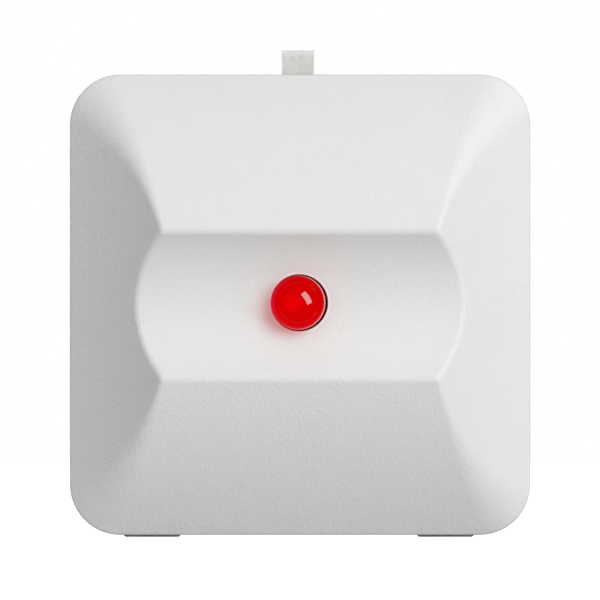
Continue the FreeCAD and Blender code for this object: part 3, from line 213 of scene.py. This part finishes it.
COVER_WHITE_LOW = (0.772, 0.776, 0.766)
COVER_WHITE_HIGH = (0.796, 0.797, 0.790)
COVER_MOTTLE = 6 * MM
HOLE_CENTRE = (-0.12 * MM, 0.34 * MM)
HOLE_RADIUS = 5.0 * MM
# Painted highlight: a pale ring of colour along the edge of the lamp's hole.
HOLE_EDGE_FULL = HOLE_RADIUS + 0.38 * MM
HOLE_EDGE_GONE = HOLE_RADIUS + 0.50 * MM
HOLE_EDGE_HIGHLIGHT = (0.94, 0.94, 0.935)
FINE_GRAIN = 0.42 * MM
BROAD_GRAIN = 1.1 * MM
PITS = 0.5 * MM
FINE_SHARE = 0.6
BROAD_SHARE = 0.25
PITS_SHARE = 0.25
GRAIN_HEIGHT = 0.12 * MM
SOFT_STRENGTH = 0.65
SOFT_HALF_WIDTH = (26 * MM, 34 * MM)
SOFT_FROM_HEIGHT = (-14 * MM, -11 * MM)


def cover_plastic():
    """White moulded plastic with a fine eroded grain, and a painted highlight round the lamp's hole.
    The grain is softer on the trough and the upper face than below them and on the flanks."""
    made = Finish("cover_plastic", IOR=1.46)
    x, _, z = made.axes()
    mottle = made.blend(made.noise(COVER_MOTTLE, detail=3), COVER_WHITE_LOW, COVER_WHITE_HIGH)
    # Painted highlight: the colour turns pale along the edge of the lamp's hole.
    hole_highlight = made.spread(made.distance((x, z), HOLE_CENTRE), HOLE_EDGE_FULL, HOLE_EDGE_GONE, 1, 0)
    made.set("Base Color", made.blend(hole_highlight, mottle, HOLE_EDGE_HIGHLIGHT))
    fine = made.noise(FINE_GRAIN, detail=3, roughness=0.55)
    broad = made.noise(BROAD_GRAIN, detail=2)
    grain = made.math(
        "ADD", made.math("MULTIPLY", fine, FINE_SHARE), made.math("MULTIPLY", broad, BROAD_SHARE))
    grain = made.math("ADD", grain, made.math("MULTIPLY", made.cells(PITS), PITS_SHARE))
    inside = made.spread(made.math("ABSOLUTE", x), *SOFT_HALF_WIDTH, 1, 0)
    above = made.spread(z, *SOFT_FROM_HEIGHT, 0, 1)
    strength = made.spread(made.math("MULTIPLY", inside, above), 0, 1, 1.0, SOFT_STRENGTH)
    made.set_bump(grain, GRAIN_HEIGHT, strength)
    made.set_roughness(fine, 0.5, 0.62)
    return made


# Base plastic

FLOW_MARKS = 2.2 * MM
FLOW_REACH = 2.4 * MM
FLOW_LOW = 0.35
FLOW_HIGH = 0.65
# Painted light: the tab's top end is paler where light comes through it.
TAB_END_FADE = 0.4 * MM
TAB_BEGINS = 6 * MM
TAB_FULL = 4 * MM
BASE_GREY = (0.61, 0.615, 0.585)
BASE_GREY_LIGHT = (0.655, 0.65, 0.63)
TAB_END_PAINTED_LIGHT = (0.73, 0.73, 0.72)
SCATTER_DEPTH = 1.2 * MM
SCATTER_COLOURS = (1.0, 1.0, 0.95)


def base_plastic(tab_top):
    """Light grey plastic that lets some light through, smooth, with painted light making the tab's end
    paler where light comes through it. Its flow marks show in full on the tab and faintly elsewhere."""
    made = Finish(
        "base_plastic", IOR=1.5, Subsurface_Weight=0.35, Subsurface_Scale=SCATTER_DEPTH,
        Subsurface_Radius=SCATTER_COLOURS,
    )
    flow = made.noise(FLOW_MARKS, detail=2, distortion=0.8)
    z = made.axes()[2]
    wavy = made.math("ADD", z, made.math("MULTIPLY", flow, FLOW_REACH))
    # Painted light: the tab's top end, wavy along the flow marks, turns paler.
    end = made.spread(wavy, tab_top, tab_top + TAB_END_FADE, 0, 1, "SMOOTHSTEP")
    tab = made.spread(z, tab_top - TAB_BEGINS, tab_top - TAB_FULL, 0, 1)
    least = made.spread(tab, 0, 1, 0.45, 0)
    most = made.spread(tab, 0, 1, 0.55, 1)
    marks = made.spread(flow, FLOW_LOW, FLOW_HIGH, least, most, "SMOOTHSTEP")
    clouded = made.blend(marks, BASE_GREY, BASE_GREY_LIGHT)
    made.set("Base Color", made.blend(end, clouded, TAB_END_PAINTED_LIGHT))
    made.set_roughness(flow, 0.30, 0.35)
    made.set_bump(made.noise(1.6 * MM, detail=1), 0.012 * MM)
    return made


def dark_plastic(name, colour, rough):
    """Moulded plastic of the small parts inside, a little clouded."""
    made = Finish(name, IOR=1.5)
    cloud = made.noise(1.2 * MM, detail=3)
    lighter = [min(1, 1.5 * c + 0.008) for c in colour]
    made.set("Base Color", made.blend(cloud, colour, lighter))
    made.set_roughness(cloud, rough - 0.06, rough + 0.06)
    made.set_bump(made.noise(0.18 * MM, detail=2), 0.008 * MM)
    return made


# Lamp. Rings and spots are given in parts of the dome's radius, right and up from its middle.

# Painted light: the unlit lamp's emission stands in for the key's light gathering in it, and a share
# of it lights the parts around.
GLOW_LOW = 0.49
GLOW_HIGH = 0.15
GLOW_RIGHT = 0.6
GLOW_UP = 0.5
GLOW_REACH = 0.75
GLOW_ON_OTHERS = 0.4
SPOT_PAINTED_GLOW = 0.15
SPOT_CENTRE = (-0.24, 0.0)
SPOT_RING = (0.10, 0.45)
SHINE = 0.7
SHINE_RING = (0.5, 0.8)
CRIMSON_RING = (0.84, 0.93)
# Painted reflection: a thin pale pink ring inside the dome's rim, on its front only.
PALE_REFLECTION_CENTRE = (-0.035, 0.012)
PALE_REFLECTION_RING = (0.970, 0.985)
DOME_FRONT = (-0.5 * MM, -0.1 * MM)
GLOW_FADE = (-0.8 * MM, 1.6 * MM)
SHADOW_CLEAR = 0.85
LAMP_RED = (1.0, 0.0, 0.002)
LAMP_CRIMSON = (1.0, 0.016, 0.05)
LAMP_PINK_REFLECTION = (0.62, 0.27, 0.24)
LAMP_DEEP = (0.38, 0.0, 0.0)
LAMP_DEEP_LIGHT = (0.42, 0.0, 0.0)
LAMP_TINT = (0.95, 0.03, 0.02)
LAMP_SHINE_TINT = (0.4, 1.0, 0.97, 1.0)


def red_epoxy(middle, radius):
    """Tinted epoxy. Its emission is painted light, gathered opposite the key and in one spot, and its
    rim is pale with a painted reflection.
    Some of the key passes through it and reddens the cover beside it."""
    made = Finish("red_epoxy", Roughness=0.06, IOR=1.52, Specular_Tint=LAMP_SHINE_TINT)
    x, y, z = made.axes()
    right = made.math("DIVIDE", made.math("SUBTRACT", x, middle.x), radius)
    up = made.math("DIVIDE", made.math("SUBTRACT", z, middle.z), radius)
    rim = made.distance((right, up), (0.0, 0.0))
    made.set("Specular IOR Level", made.spread(rim, *SHINE_RING, SHINE, 0.0, "SMOOTHSTEP"))
    # Painted reflection: the base colour turns pale pink in a thin ring inside the rim, on the dome's
    # front.
    front = made.spread(y, *[middle.y + shift for shift in DOME_FRONT], 1.0, 0.0)
    reflection_ring = made.spread(made.distance((right, up), PALE_REFLECTION_CENTRE), *PALE_REFLECTION_RING, 0.0, 1.0)
    deep = made.blend(made.noise(2 * MM), LAMP_DEEP, LAMP_DEEP_LIGHT)
    made.set("Base Color", made.blend(made.math("MULTIPLY", front, reflection_ring), deep, LAMP_PINK_REFLECTION))
    # Painted light: the emission, crimson towards the rim, is brighter opposite the key and in one
    # spot, and fades behind the dome's middle.
    crimson = made.spread(rim, *CRIMSON_RING, 0.0, 1.0)
    made.set("Emission Color", made.blend(crimson, LAMP_RED, LAMP_CRIMSON))
    painted_glow = made.math(
        "ADD", made.math("MULTIPLY", right, GLOW_RIGHT), made.math("MULTIPLY", up, GLOW_UP))
    painted_glow = made.spread(painted_glow, -GLOW_REACH, GLOW_REACH, GLOW_LOW, GLOW_HIGH)
    away = made.distance((right, up), SPOT_CENTRE)
    spot = made.spread(away, *SPOT_RING, SPOT_PAINTED_GLOW, 0.0, "SMOOTHSTEP")
    ahead = made.spread(y, *[middle.y + shift for shift in GLOW_FADE], 1.0, 0.0, "SMOOTHSTEP")
    rays = made.add("ShaderNodeLightPath").outputs
    seen = made.spread(rays["Is Camera Ray"], 0.0, 1.0, GLOW_ON_OTHERS, 1.0)
    strength = made.math("MULTIPLY", ahead, made.math("ADD", painted_glow, spot))
    made.set("Emission Strength", made.math("MULTIPLY", seen, strength))
    share = made.math("MULTIPLY", rays["Is Shadow Ray"], SHADOW_CLEAR)
    made.let_through(share, made.shader.outputs["BSDF"], LAMP_TINT)
    return made


# Metals, laminate and the painted parts on the board

TINNED = (0.74, 0.74, 0.72)
ZINC = (0.66, 0.67, 0.66)
CLAMP_STEEL = (0.62, 0.62, 0.60)
BRASS = (0.70, 0.58, 0.34)
SPACER_BLACK = (0.02, 0.02, 0.021)
TERMINAL_GREEN = (0.03, 0.17, 0.055)
CASE_BLACK = (0.014, 0.014, 0.015)
MASK_GREEN = (0.018, 0.115, 0.036)
MASK_GREEN_LIGHT = (0.024, 0.140, 0.046)
TRACK_GREEN = (0.04, 0.22, 0.075)
CLOTH_PITCH = 0.45 * MM
DIODE_BLACK = (0.015, 0.015, 0.016)
DIODE_GREY = (0.55, 0.55, 0.54)
DIODE_LENGTH = 5.05 * MM
DIODE_BAND = 1.7 * MM
DIODE_BAND_HALF = 0.4 * MM
RESISTOR_TAN = (0.50, 0.36, 0.20)
RESISTOR_LENGTH = 6.25 * MM
RESISTOR_BAND_HALF = 0.3 * MM
RESISTOR_BANDS = (
    (-2.3 * MM, (0.30, 0.02, 0.01)),
    (-0.9 * MM, (0.03, 0.01, 0.20)),
    (0.3 * MM, (0.10, 0.03, 0.01)),
    (2.3 * MM, (0.45, 0.30, 0.06)),
)


def metal(name, colour, rough, stretch=(1, 1, 1)):
    made = Finish(name, Metallic=1.0)
    cloud = made.noise(0.9 * MM, detail=3, stretch=stretch)
    made.set("Base Color", made.blend(cloud, [0.88 * c for c in colour], colour))
    made.set_roughness(cloud, rough - 0.08, rough + 0.08)
    made.set_bump(made.noise(0.25 * MM, detail=2, stretch=stretch), 0.006 * MM)
    return made


def board_laminate():
    """Green mask over glass cloth, with the lighter copper tracks that show through it."""
    made = Finish("board_laminate", IOR=1.5)
    x, _, z = made.axes()
    threads = [
        made.math("SINE", made.math("MULTIPLY", place, 2 * math.pi / CLOTH_PITCH))
        for place in (x, z)
    ]
    weave = made.math("MULTIPLY", *threads)
    mapping = made.add("ShaderNodeMapping")
    mapping.inputs["Rotation"].default_value = (math.pi / 2, 0, 0)
    made.link(made.place, mapping.inputs["Vector"])
    tracks = made.add("ShaderNodeTexBrick", offset=0.5)
    made.link(mapping.outputs["Vector"], tracks.inputs["Vector"])
    for label, value in (
        ("Scale", 1.0), ("Mortar Size", 0.35 * MM), ("Brick Width", 10 * MM), ("Row Height", 5 * MM),
    ):
        tracks.inputs[label].default_value = value
    mask = made.blend(made.spread(weave, -1, 1, 0, 1), MASK_GREEN, MASK_GREEN_LIGHT)
    made.set("Base Color", made.blend(tracks.outputs["Fac"], mask, TRACK_GREEN))
    made.set_roughness(made.noise(3 * MM), 0.28, 0.4)
    made.set_bump(weave, 0.006 * MM)
    return made


def stripe(made, along, centre, half_width):
    """1 within this distance of a plane across the axis, and 0 elsewhere."""
    away = made.math("ABSOLUTE", made.math("SUBTRACT", along, centre))
    return made.math("LESS_THAN", away, half_width)


def axial_finish(node_name, axis, case_length, paint, rough):
    """A painted body on bare tinned wires: the wires are what lies past the body's ends."""
    low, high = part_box(node_name)
    middle = (low[axis] + high[axis]) / 2
    made = Finish(node_name + "_case", IOR=1.5)
    along = made.axes()[axis]
    bare = made.math("SUBTRACT", 1.0, stripe(made, along, middle, case_length / 2))
    made.set("Base Color", made.blend(bare, paint(made, along, middle), TINNED))
    made.set("Metallic", bare)
    made.set("Roughness", made.spread(bare, 0, 1, rough, 0.28))
    made.set_bump(made.noise(0.2 * MM), 0.006 * MM)
    return made


def diode_paint(made, along, middle):
    band = stripe(made, along, middle + DIODE_BAND, DIODE_BAND_HALF)
    return made.blend(band, DIODE_BLACK, DIODE_GREY)


def resistor_paint(made, along, middle):
    colour = made.blend(made.noise(1 * MM), RESISTOR_TAN, [0.92 * c for c in RESISTOR_TAN])
    for shift, ink in RESISTOR_BANDS:
        colour = made.blend(stripe(made, along, middle + shift, RESISTOR_BAND_HALF), colour, ink)
    return colour


# The lamp's dome, without its flange, gives the middle and the radius of the glow.

LAMP_FLANGE = 2 * MM

lamp_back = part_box("led_dome")[1].y
dome = [v.co for v in NODES["led_dome"].data.vertices if v.co.y < lamp_back - LAMP_FLANGE]
lamp_left = min(point.x for point in dome)
lamp_right = max(point.x for point in dome)
lamp_bottom = min(point.z for point in dome)
lamp_top = max(point.z for point in dome)
lamp_tip = min(point.y for point in dome)
lamp_radius = (lamp_right - lamp_left) / 2
lamp_middle = Vector((
    (lamp_left + lamp_right) / 2, lamp_tip + lamp_radius, (lamp_bottom + lamp_top) / 2,
))

# Every node gets its finish.

ALONG_X = 0
ALONG_Z = 2

dress("cover", cover_plastic())
dress("base", base_plastic(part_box("base")[1].z))
dress("circuit_board", board_laminate())
dress("board_screws", metal("zinc_steel", ZINC, 0.3))
dress("led_dome", red_epoxy(lamp_middle, lamp_radius))
dress("led_spacer", dark_plastic("spacer_plastic", SPACER_BLACK, 0.45))
dress("terminal_housing", dark_plastic("terminal_plastic", TERMINAL_GREEN, 0.4))
dress("terminal_screws", metal("clamp_steel", CLAMP_STEEL, 0.34))
dress("transistor", dark_plastic("transistor_case", CASE_BLACK, 0.42))
tinned = metal("tinned_steel", TINNED, 0.28, stretch=(1, 0.3, 1))
for name in ("led_anode_lead", "led_cathode_lead"):
    dress(name, tinned)
brass = metal("cage_brass", BRASS, 0.32)
for number in range(1, 5):
    dress("terminal_cage_%d" % number, brass)
    dress("terminal_pin_%d" % number, tinned)
    diode = "diode_%d" % number
    dress(diode, axial_finish(diode, ALONG_Z, DIODE_LENGTH, diode_paint, 0.42))
for number in (1, 2):
    resistor = "resistor_%d" % number
    dress(resistor, axial_finish(resistor, ALONG_X, RESISTOR_LENGTH, resistor_paint, 0.3))


# Floor: a round white sheet just below the object. The camera sees it glow white, and gloss sees
# through it.

FLOOR_RADIUS = 1.2
FLOOR_SIDES = 96
FLOOR_GLOW = 0.92
FLOOR_GAP = 1.0 * MM
FLOOR_MOTTLE = 0.2
FLOOR_GREY = (0.50, 0.50, 0.50)
FLOOR_GREY_LIGHT = (0.53, 0.53, 0.53)

floor_mesh = bpy.data.meshes.new("floor")
shape = bmesh.new()
bmesh.ops.create_circle(shape, cap_ends=True, segments=FLOOR_SIDES, radius=FLOOR_RADIUS)
shape.to_mesh(floor_mesh)
shape.free()
floor = bpy.data.objects.new("floor", floor_mesh)
floor.location = (0, 0, cad_low.z - FLOOR_GAP)
bpy.context.scene.collection.objects.link(floor)

ground = Finish("floor_white", Roughness=0.9, Specular_IOR_Level=0.0)
ground.set("Base Color", ground.blend(ground.noise(FLOOR_MOTTLE), FLOOR_GREY, FLOOR_GREY_LIGHT))
floor_rays = ground.add("ShaderNodeLightPath").outputs
floor_seen = ground.math(
    "MAXIMUM", floor_rays["Is Camera Ray"], floor_rays["Is Transmission Ray"])
glow = ground.add("ShaderNodeEmission")
ground.link(ground.math("MULTIPLY", floor_seen, FLOOR_GLOW), glow.inputs["Strength"])
lit_and_glowing = ground.add("ShaderNodeAddShader")
ground.link(ground.shader.outputs["BSDF"], lit_and_glowing.inputs[0])
ground.link(glow.outputs["Emission"], lit_and_glowing.inputs[1])
ground.let_through(floor_rays["Is Glossy Ray"], lit_and_glowing.outputs["Shader"])
floor.data.materials.append(ground.material)


# World: a soft light, brightest in front. Gloss and clear parts see it as dark in front of the
# object and white behind it, as in a photographer's room, and the camera sees plain white.

WORLD_LEVEL = 0.135
WORLD_FRONT = 0.84
MIRROR_WHITE = 0.4

world = bpy.data.worlds.new("studio")
bpy.context.scene.world = world
world.use_nodes = True
studio = Tree(world.node_tree)
sky = studio.add("ShaderNodeSeparateXYZ")
studio.link(studio.add("ShaderNodeTexCoord").outputs["Generated"], sky.inputs["Vector"])
backwards = sky.outputs["Y"]
rays = studio.add("ShaderNodeLightPath").outputs


def choose(share, first, second):
    """The first value where the share is 0, the second where it is 1."""
    rest = studio.math("SUBTRACT", 1.0, share)
    return studio.math(
        "ADD", studio.math("MULTIPLY", share, second), studio.math("MULTIPLY", rest, first))


soft = studio.math("SUBTRACT", WORLD_LEVEL, studio.math("MULTIPLY", backwards, WORLD_FRONT))
soft = studio.math("MAXIMUM", soft, 0.0)
mirror = studio.spread(backwards, 0.0, MIRROR_WHITE, 0.0, 1.0, "SMOOTHSTEP")
reflected = studio.math("MAXIMUM", rays["Is Glossy Ray"], rays["Is Transmission Ray"])
level = choose(rays["Is Camera Ray"], choose(reflected, soft, mirror), 1.0)
background = world.node_tree.nodes["Background"]
background.inputs["Color"].default_value = (1, 1, 1, 1)
studio.link(level, background.inputs["Strength"])


# Lights: a long strip from the upper right in front, and a soft box behind that lights the back
# and the edges.

LIGHT_DISTANCE = 1.6
KEY_TOWARDS = (0.580, -0.743, 0.328)
KEY_ALONG = (0.461, 0.015, -0.728)
KEY_WIDTH = 0.71
KEY_LENGTH = 1.52
KEY_POWER = 17.8
BACK_TOWARDS = (-0.42, 0.84, 0.34)
BACK_ALONG = (0, 0, 1)
BACK_SIZE = 1.0
BACK_POWER = 17


def soft_box(name, towards, along, width, length, power):
    """An area lamp in this direction from the origin, facing it, with its length along a direction."""
    lamp = bpy.data.lights.new(name, "AREA")
    lamp.shape = "RECTANGLE"
    lamp.size = width
    lamp.size_y = length
    lamp.energy = power
    towards = Vector(towards).normalized()
    along = Vector(along)
    long_side = (along - along.dot(towards) * towards).normalized()
    turn = Matrix((long_side.cross(towards), long_side, towards)).transposed().to_4x4()
    lamp_object = bpy.data.objects.new(name, lamp)
    lamp_object.matrix_world = Matrix.Translation(towards * LIGHT_DISTANCE) @ turn
    bpy.context.scene.collection.objects.link(lamp_object)


soft_box("key_strip", KEY_TOWARDS, KEY_ALONG, KEY_WIDTH, KEY_LENGTH, KEY_POWER)
soft_box("back_fill", BACK_TOWARDS, BACK_ALONG, BACK_SIZE, BACK_SIZE, BACK_POWER)


# Camera: straight in front, far away, with a long lens.

PIXELS = 600
PIXELS_PER_MM = 5.638
DISTANCE = 2.5
RIM_DEPTH = 11 * MM
AIM_X = -0.01 * MM
AIM_Z = 0.84 * MM
SENSOR_WIDTH = 36
CLIP_END = 20

camera = bpy.data.cameras.new("camera")
camera.sensor_width = SENSOR_WIDTH
camera.lens = SENSOR_WIDTH * (DISTANCE - RIM_DEPTH) / (PIXELS / PIXELS_PER_MM * MM)
camera.clip_end = CLIP_END
camera_object = bpy.data.objects.new("camera", camera)
camera_object.location = (AIM_X, -DISTANCE, AIM_Z)
camera_object.rotation_euler = (math.pi / 2, 0, 0)
bpy.context.scene.collection.objects.link(camera_object)
bpy.context.scene.camera = camera_object
bpy.context.scene.view_settings.view_transform = "Standard"
